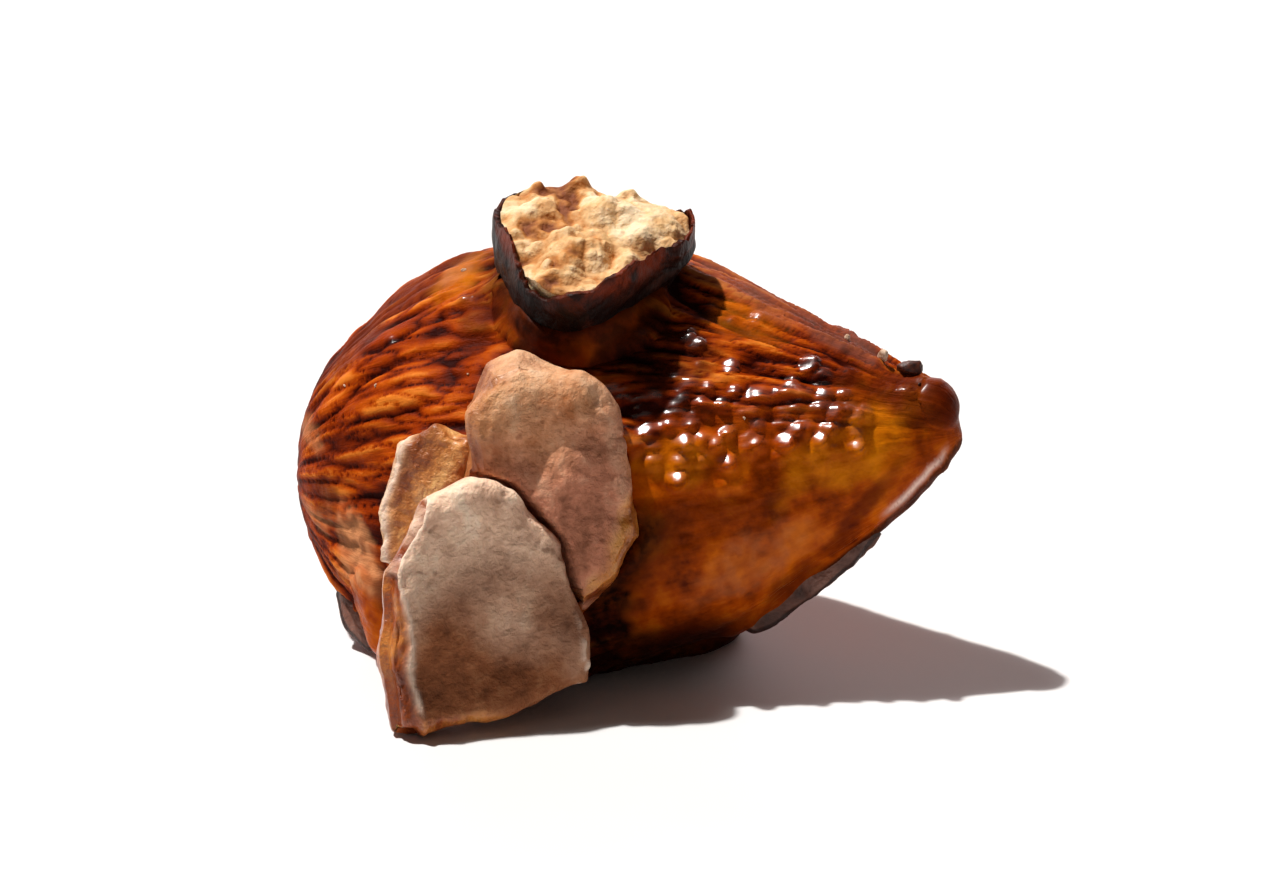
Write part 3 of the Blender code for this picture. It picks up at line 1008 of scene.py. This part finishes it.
def coat_faces():
    mesh = bpy.data.objects["caramel_coat"].data
    return [v.co / MM for v in mesh.vertices], [p.vertices[:] for p in mesh.polygons]


# The broken nut end: a bowl of skin with a jagged rim, and the torn nut in it.

def nut_end_outline(turn):
    corners = NUT_END_CORNERS * np.cos(3 * (turn - NUT_END_CORNER_TURN))
    return NUT_END_RADIUS * (1 + corners - NUT_END_CORNERS / 2 * np.cos(turn))


def bowl_points(units):
    """The bowl's surface below its rim, and the level of the rim above, for unit vectors."""
    turn = np.arctan2(units[:, 1], units[:, 0])
    level = units[:, :2] * nut_end_outline(turn)[:, None]
    level = level + NUT_END_LEAN * np.maximum(0, -units[:, 2])[:, None]
    return np.column_stack((level, NUT_END_DEPTH * units[:, 2]))


def sphere_units(segments, rings):
    shape = bmesh.new()
    bmesh.ops.create_uvsphere(shape, u_segments=segments, v_segments=rings, radius=1)
    return shape, np.array([vert.co for vert in shape.verts])


def make_torn_nut():
    """The torn nut in its skin: broad broken lumps, small grains and a few deep pits on the left."""
    shape, units = sphere_units(320, 190)
    z = units[:, 2]
    spots = np.column_stack((units[:, :2] * NUT_END_TEARS_ACROSS, np.full(len(z), NUT_END_TEAR_SEED)))
    torn = NUT_END_DOME * z + NUT_END_TEAR * noise_at(spots)
    points = bowl_points(units)
    points[:, 2] = np.where(z < 0, points[:, 2], NUT_END_DEPTH * torn)
    open_face = smoothstep(-0.05, 0.12, z)
    points[:, :2] *= 0.97
    points *= (1 - 0.03 * (1 - open_face))[:, None]
    for vert, point in zip(shape.verts, points):
        vert.co = point
    mesh = mesh_of(shape, "torn")
    broad = noise_at(points, 1.7, 21)
    clumps = np.abs(noise_at(points, 1.25, 22))
    shards = np.abs(noise_at(points, 0.6, 27))
    grains = noise_at(points, 0.32, 23)
    fine = noise_at(points, 0.17, 24)
    on_left = smoothstep(1.0, -1.0, points[:, 0] + 0.8 * broad)
    shards = 0.2 + (shards - 0.2) * (0.5 + 0.5 * on_left)
    stain = smoothstep(-0.3, 0.3, noise_at(points, 1.2, 26)) * on_left
    skyline = 0.35 * smoothstep(0.0, 0.5, noise_at(points, 0.9, 28)) * smoothstep(1.2, 2.8, points[:, 1])
    height = 0.4 * broad + 0.45 * (clumps - 0.2) + 0.3 * (shards - 0.2)
    height = height + 0.06 * grains + 0.03 * fine + skyline
    lifted = points.copy()
    lifted[:, 2] += np.maximum(height, -0.35) * open_face
    set_positions(mesh, lifted)
    # Stains on the left, and painted shade where the broken lumps dip.
    hollow = 0.8 * stain - 1.1 * (clumps - 0.15) - 0.7 * (shards - 0.2) + 0.1 * on_left
    set_attributes(mesh, hollow=np.clip(hollow, 0, 1) * open_face)
    mesh.transform(NUT_END_MATRIX)
    finished("torn_nut", mesh, torn_surface(), "nut_skin", "nut_end")


# Where the rim rises or falls: the direction, the width and the rise.
RIM_RISES = (
    (-1.35, 0.4, 0.2), (-0.8, 0.4, 0.12), (-2.1, 0.3, -0.06), (3.0, 0.3, 0.1), (0.1, 0.3, 0.1),
    (1.6, 0.9, -0.2),
)
BOWL_COLUMNS = 300
BOWL_ROWS = 60
BOWL_THICKNESS = 0.17


def rim_height(turn):
    """How far the skin's ragged rim stands above the bowl: high at the front right, torn low beside it."""
    circle = np.column_stack((np.cos(turn), np.sin(turn), np.zeros(len(turn))))
    height = 0.03 + 0.1 * noise_at(circle * 1.6, seed=31) + 0.07 * noise_at(circle * 5, seed=32)
    height += 0.035 * noise_at(circle * 14, seed=33)
    for middle, width, rise in RIM_RISES:
        apart = np.angle(np.exp(1j * (turn - middle)))
        height += rise * hump(apart / width)
    return height


def bowl_rows():
    """The bowl's rings of points, down its outside and then up its inside."""
    turn = np.linspace(0, 2 * math.pi, BOWL_COLUMNS, endpoint=False)
    jagged = rim_height(turn)
    rows = []
    for inner in (0, 1):
        for row in range(BOWL_ROWS):
            share = row / BOWL_ROWS if inner == 0 else (BOWL_ROWS - row) / BOWL_ROWS
            z = jagged * (1 - share) - share ** 1.3 * (1 - 1e-4)
            flat = np.sqrt(np.clip(1 - np.minimum(z, 0) ** 2, 1e-6, 1))
            points = bowl_points(np.column_stack((np.cos(turn) * flat, np.sin(turn) * flat, z)))
            points[:, :2] *= 1.025 - inner * BOWL_THICKNESS / NUT_END_RADIUS
            points[:, 2] += inner * BOWL_THICKNESS * share
            rows.append(points)
    return rows


def bowl_shape():
    """A thin closed shell from the bowl's rings."""
    shape = bmesh.new()
    rings = [[shape.verts.new(point) for point in points] for points in bowl_rows()]
    rings = rings[BOWL_ROWS:] + rings[:BOWL_ROWS]
    for first, second in zip(rings, rings[1:]):
        for i in range(BOWL_COLUMNS):
            j = (i + 1) % BOWL_COLUMNS
            shape.faces.new((first[i], second[i], second[j], first[j]))
    shape.faces.new(rings[0])
    shape.faces.new(list(reversed(rings[-1])))
    bmesh.ops.recalc_face_normals(shape, faces=shape.faces)
    return shape


def make_bowl():
    """The skin round the torn nut, with a jagged rim and a fold."""
    mesh = mesh_of(bowl_shape(), "bowl")
    points = positions(mesh)
    outward = normals(mesh)
    x = points[:, 0]
    z = points[:, 2]
    fold = hump((z + 1.5 - 0.25 * x) / 0.2) * smoothstep(-0.5, 0.5, x)
    height = 0.12 * noise_at(points, 1.4, 34) + 0.04 * noise_at(points, 0.5, 35) + 0.12 * fold
    set_attributes(mesh, rim=smoothstep(-0.5, 0.4, z + 0.4 * noise_at(points, 0.9, 36)))
    set_positions(mesh, points + outward * height[:, None])
    mesh.transform(NUT_END_MATRIX)
    finished("nut_end_bowl", mesh, bowl_surface(), "nut_skin", "nut_end")


# Materials.

class Nodes:
    """Short calls for the nodes of a tree."""

    def __init__(self, tree):
        self.tree = tree

    def node(self, kind, **inputs):
        made = self.tree.nodes.new("ShaderNode" + kind)
        for socket, value in inputs.items():
            self.feed(made.inputs[socket.replace("_", " ")], value)
        return made

    def feed(self, socket, value):
        if isinstance(value, bpy.types.NodeSocket):
            self.tree.links.new(value, socket)
        else:
            socket.default_value = value

    def operation(self, kind, operation, *values):
        made = self.node(kind)
        made.operation = operation
        for socket, value in zip(made.inputs, values):
            self.feed(socket, value)
        return made

    def ramp(self, value, *stops):
        """A colour ramp through (position, colour) stops; a colour may be one grey number."""
        made = self.node("ValToRGB", Fac=value)
        elements = made.color_ramp.elements
        while len(elements) < len(stops):
            elements.new(0.5)
        for element, (position, colour) in zip(elements, stops):
            element.position = position
            element.color = (*colour, 1) if isinstance(colour, tuple) else (colour, colour, colour, 1)
        return made.outputs["Color"]


class Surface(Nodes):
    """A Principled material."""

    def __init__(self, name, **values):
        self.material = bpy.data.materials.new(name)
        self.material.use_nodes = True
        super().__init__(self.material.node_tree)
        self.shader = self.tree.nodes["Principled BSDF"]
        for socket, value in values.items():
            self.set(socket.replace("_", " "), value)

    def set(self, socket, value):
        self.feed(self.shader.inputs[socket], value)

    def attribute(self, name, output="Fac"):
        made = self.node("Attribute")
        made.attribute_name = name
        return made.outputs[output]

    def place(self):
        return self.node("TexCoord").outputs["Object"]

    def noise(self, vector, scale, detail=3.0, roughness=0.55, distortion=0.0):
        made = self.node(
            "TexNoise", Vector=vector, Scale=scale, Detail=detail, Roughness=roughness, Distortion=distortion
        )
        return made.outputs["Fac"]

    def plus(self, first, second):
        return self.operation("Math", "ADD", first, second).outputs["Value"]

    def minus(self, first, second):
        return self.operation("Math", "SUBTRACT", first, second).outputs["Value"]

    def times(self, first, second):
        return self.operation("Math", "MULTIPLY", first, second).outputs["Value"]

    def mix(self, share, first, second):
        made = self.tree.nodes.new("ShaderNodeMix")
        made.data_type = "RGBA"
        self.feed(made.inputs["Factor"], share)
        for name, value in (("A", first), ("B", second)):
            socket = next(s for s in made.inputs if s.name == name and s.type == "RGBA")
            self.feed(socket, (*value, 1) if isinstance(value, tuple) else value)
        return next(s for s in made.outputs if s.type == "RGBA")

    def stretched(self, vector, x, y, z):
        return self.node("Mapping", Vector=vector, Scale=(x, y, z)).outputs["Vector"]

    def bump(self, height, distance, below=None):
        made = self.node("Bump", Height=height, Strength=1.0, Distance=distance)
        if below is not None:
            self.feed(made.inputs["Normal"], below)
        return made.outputs["Normal"]

    def done(self, colour, relief):
        """The finished material, with its colour and its fine relief."""
        self.set("Base Color", colour)
        self.set("Normal", relief)
        return self.material


def caramel_surface():
    """Dark caramel over the streaked skin, amber where it pooled, with strongly glinting beads, and with
    painted shade, a painted sheen along the upper outline and painted reflections on the lower left and
    lower right.
    """
    s = Surface(
        "caramel_over_skin",
        IOR=1.1,
        Coat_Roughness=0.24,
        Coat_IOR=2.3,
        Subsurface_Scale=0.0008,
        Subsurface_Radius=(1.0, 0.3, 0.08),
    )
    grain = s.attribute("grain", "Vector")
    place = s.place()
    crest = s.attribute("crest")
    pooled = s.attribute("pooled")
    streaks = s.noise(s.stretched(grain, 9, 20, 20), 1.0, 5.0, 0.65, 0.4)
    patches = s.noise(place, 0.5 * PER_METRE, 4.0, 0.55)
    specks = s.noise(place, 2.6 * PER_METRE, 2.0, 0.5)
    clouds = s.noise(place, 0.9 * PER_METRE, 3.0, 0.5, 0.3)
    tone = s.plus(s.times(crest, 0.75), s.times(streaks, 0.42))
    tone = s.plus(tone, s.times(s.minus(patches, 0.5), 0.3))
    plain = s.plus(s.times(patches, 0.5), s.times(specks, 0.6))
    pole = s.attribute("pole")
    tone = s.plus(s.times(tone, s.minus(1.0, pole)), s.times(plain, pole))
    skin = s.ramp(
        tone,
        (0.36, (0.025, 0.0014, 0.0002)),
        (0.51, (0.11, 0.0095, 0.0003)),
        (0.66, (0.27, 0.029, 0.0006)),
        (0.80, (0.46, 0.073, 0.002)),
        (0.93, (0.70, 0.19, 0.02)),
    )
    pool_tone = s.plus(s.times(patches, 0.55), s.times(clouds, 0.33))
    pool_tone = s.plus(pool_tone, s.times(streaks, 0.12))
    pool_tone = s.plus(pool_tone, s.times(s.minus(specks, 0.5), 0.16))
    amber = s.ramp(
        pool_tone,
        (0.36, (0.09, 0.009, 0.0006)),
        (0.50, (0.40, 0.058, 0.001)),
        (0.64, (0.66, 0.14, 0.003)),
    )
    golden = s.ramp(
        pool_tone,
        (0.36, (0.40, 0.075, 0.001)),
        (0.62, (0.80, 0.24, 0.004)),
    )
    clear = s.mix(pooled, skin, amber)
    clear = s.mix(s.attribute("gold"), clear, golden)
    # Painted sheen: the floor's reflection and a highlight, in the pale patches.
    clear = s.mix(s.attribute("pale"), clear, (0.66, 0.27, 0.11))
    clear = s.mix(s.times(s.attribute("mahogany"), 0.85), clear, (0.085, 0.008, 0.0008))
    # Painted sheen along the upper outline.
    clear = s.mix(s.times(s.attribute("haze"), 0.75), clear, (0.21, 0.072, 0.047))
    # Painted reflection: the pale line inside the lower right outline.
    clear = s.mix(s.attribute("edge_line"), clear, (0.92, 0.66, 0.56))
    # Painted shade: nearly black where the dark attribute holds it.
    dark = s.times(s.attribute("dark"), s.ramp(specks, (0.3, 0.84), (0.6, 1.0)))
    colour = s.mix(dark, clear, (0.008, 0.0011, 0.0006))
    s.set("Subsurface Weight", s.times(pooled, 0.06))
    s.set("Coat Weight", s.attribute("beaded"))
    rough = s.plus(s.times(dark, 0.3), s.times(streaks, 0.3))
    s.set("Roughness", s.plus(rough, s.minus(0.35, s.times(pooled, 0.25))))
    grainy = s.times(streaks, s.minus(1.0, s.times(pooled, 0.85)))
    return s.done(colour, s.bump(s.plus(grainy, s.times(specks, 0.5)), 0.0001))


def nut_surface(name, lower_tones, upper_tones, caramel_tones):
    """Broken nut: dusty and softly mottled, with chipped edges and caramel where the piece has it."""
    s = Surface(
        name,
        IOR=1.4,
        Coat_Roughness=0.3,
        Coat_IOR=1.4,
        Subsurface_Scale=0.0005,
        Subsurface_Radius=(1.0, 0.5, 0.25),
        Subsurface_Weight=0.1,
    )
    place = s.place()
    candied = s.attribute("candied")
    blotches = s.noise(s.stretched(place, 1, 1, 0.5), 0.75 * PER_METRE, 4.0, 0.55, 0.2)
    dust = s.noise(place, 2.2 * PER_METRE, 4.0, 0.6)
    speckle = s.noise(place, 5.0 * PER_METRE, 3.0, 0.6)
    tone = s.plus(s.times(blotches, 0.62), s.times(dust, 0.38))
    tone = s.plus(tone, s.times(s.attribute("worn"), 0.06))
    lower = s.ramp(tone, *zip((0.36, 0.52, 0.68), lower_tones))
    upper = s.ramp(tone, *zip((0.36, 0.52, 0.68), upper_tones))
    dry = s.mix(s.attribute("upper"), lower, upper)
    spots = s.ramp(s.noise(place, 1.5 * PER_METRE, 2.0, 0.5), (0.66, 0.0), (0.74, 0.6))
    dry = s.mix(spots, dry, lower_tones[0])
    dry = s.mix(s.times(s.attribute("chip"), 0.85), dry, (0.86, 0.66, 0.52))
    caramel = s.ramp(blotches, *zip((0.36, 0.50, 0.64), caramel_tones))
    s.set("Coat Weight", s.times(candied, 0.5))
    s.set("Roughness", s.minus(0.85, s.times(candied, 0.5)))
    return s.done(s.mix(candied, dry, caramel), s.bump(speckle, 0.00006, s.bump(dust, 0.00016)))


def torn_surface():
    """Torn nut: cream, with stains and painted shade in its hollows."""
    s = Surface(
        "torn_nut_flesh",
        Roughness=0.75,
        IOR=1.4,
        Subsurface_Scale=0.0006,
        Subsurface_Radius=(1.0, 0.6, 0.3),
        Subsurface_Weight=0.12,
    )
    place = s.place()
    blotches = s.noise(place, 0.55 * PER_METRE, 4.0, 0.6, 0.2)
    speckle = s.noise(place, 3.0 * PER_METRE, 3.0, 0.6)
    mottled = s.plus(s.times(blotches, 0.8), s.times(speckle, 0.2))
    # Stains, and painted shade in the hollows.
    tone = s.minus(mottled, s.times(s.attribute("hollow"), 0.42))
    flesh = s.ramp(
        tone,
        (0.10, (0.20, 0.050, 0.010)),
        (0.28, (0.52, 0.20, 0.045)),
        (0.44, (0.76, 0.46, 0.21)),
        (0.60, (0.87, 0.67, 0.43)),
    )
    return s.done(flesh, s.bump(speckle, 0.00012, s.bump(blotches, 0.0002)))


def bowl_surface():
    """Dark dry skin with warmer streaks, and a little shine."""
    s = Surface(
        "bowl_skin",
        IOR=1.2,
        Coat_Weight=0.03,
        Coat_Roughness=0.25,
        Coat_IOR=1.45,
    )
    place = s.place()
    blotches = s.noise(place, 0.8 * PER_METRE, 5.0, 0.6, 0.5)
    fine = s.noise(s.stretched(place, 1, 1, 0.25), 4.0 * PER_METRE, 3.0, 0.6)
    skin = s.ramp(
        blotches,
        (0.38, (0.003, 0.0008, 0.0006)),
        (0.55, (0.009, 0.0024, 0.0014)),
        (0.72, (0.05, 0.012, 0.006)),
    )
    torn = s.ramp(blotches, (0.40, (0.02, 0.004, 0.002)), (0.55, (0.16, 0.022, 0.006)))
    s.set("Roughness", s.plus(s.times(fine, 0.3), 0.3))
    return s.done(s.mix(s.attribute("rim"), skin, torn), s.bump(fine, 0.0001, s.bump(blotches, 0.0002)))


def scrap_surface():
    """Skin with a greyish tone that is partly its own and partly a painted sheen, darker on its rounded
    edges.
    """
    s = Surface("scrap_skin", Roughness=0.45, IOR=1.4)
    place = s.place()
    blotches = s.noise(place, 0.9 * PER_METRE, 4.0, 0.6, 0.4)
    fine = s.noise(place, 4.0 * PER_METRE, 3.0, 0.6)
    # The greyish tones are partly a painted sheen.
    skin = s.ramp(
        blotches,
        (0.36, (0.05, 0.017, 0.010)),
        (0.52, (0.15, 0.060, 0.040)),
        (0.68, (0.27, 0.125, 0.088)),
    )
    edge = s.ramp(s.attribute("worn"), (0.45, 0.0), (0.85, 0.9))
    return s.done(s.mix(edge, skin, (0.02, 0.005, 0.003)), s.bump(fine, 0.00008, s.bump(blotches, 0.0002)))


def crumb_surface():
    """Crumbs of dark skin and of pale nut."""
    s = Surface("crumbs_of_nut", Roughness=0.5, IOR=1.45)
    speckle = s.noise(s.place(), 5.0 * PER_METRE, 3.0, 0.6)
    dark = s.ramp(speckle, (0.35, (0.02, 0.004, 0.002)), (0.65, (0.12, 0.025, 0.008)))
    pale = s.ramp(speckle, (0.35, (0.45, 0.25, 0.14)), (0.65, (0.8, 0.6, 0.45)))
    return s.done(s.mix(s.attribute("pale"), dark, pale), s.bump(speckle, 0.00005))


def floor_surface():
    """A pale floor with a very faint grain."""
    s = Surface("pale_floor", Roughness=0.6)
    grain = s.noise(s.place(), 90.0, 4.0, 0.5)
    return s.done(s.ramp(grain, (0.3, 0.71), (0.7, 0.73)), s.bump(grain, 0.00002))


# The stage.

def make_floor():
    shape = bmesh.new()
    bmesh.ops.create_grid(shape, x_segments=1, y_segments=1, size=FLOOR_HALF_SIZE)
    mesh = mesh_of(shape, "floor")
    mesh.materials.append(floor_surface())
    floor = add_object("floor", mesh)


def make_camera():
    camera = bpy.data.cameras.new("camera")
    camera.sensor_width = SENSOR_WIDTH
    camera.lens = SENSOR_WIDTH * CAMERA_DISTANCE / FRAME_WIDTH
    camera.clip_start = NEAREST_SEEN
    holder = add_object("camera", camera)
    back = Vector((0, -math.cos(CAMERA_ELEVATION), math.sin(CAMERA_ELEVATION)))
    holder.location = FRAME_CENTRE + back * CAMERA_DISTANCE
    holder.rotation_euler = (math.radians(90) - CAMERA_ELEVATION, 0, 0)
    bpy.context.scene.camera = holder


def add_sun(name, energy, spread):
    sun = bpy.data.lights.new(name, "SUN")
    sun.energy = energy
    sun.angle = math.radians(spread)
    sun.color = SUN_COLOUR
    holder = add_object(name, sun)
    holder.rotation_euler = LIGHT_FROM.to_track_quat("Z", "Y").to_euler()


def make_world():
    """A dim warm room with a bright wall behind the nut."""
    world = bpy.data.worlds.new("room")
    world.use_nodes = True
    w = Nodes(world.node_tree)
    place = w.node("TexCoord").outputs["Generated"]
    narrowed = w.operation("VectorMath", "DIVIDE", place, (WALL_BREADTH, 1, 1)).outputs["Vector"]
    direction = w.operation("VectorMath", "NORMALIZE", narrowed).outputs["Vector"]
    towards_wall = w.operation("VectorMath", "DOT_PRODUCT", direction, WALL_AT).outputs["Value"]
    share = w.node("MapRange", Value=towards_wall, From_Min=-1).outputs["Result"]
    background = world.node_tree.nodes["Background"]
    w.feed(background.inputs["Color"], w.ramp(share, *ROOM_TONES))
    w.feed(background.inputs["Strength"], 1)
    bpy.context.scene.world = world


def main():
    make_camera()
    for name, energy, spread in SUNS:
        add_sun(name, energy, spread)
    make_world()
    make_floor()
    coat_points, coat_normals = make_coat()
    make_slab()
    make_chunk()
    make_sliver()
    make_scrap(LONG_SCRAP)
    make_scrap(SHORT_SCRAP)
    make_torn_nut()
    make_bowl()
    make_crumbs(coat_points, coat_normals)
    bpy.context.scene.view_settings.view_transform = "Standard"


main()
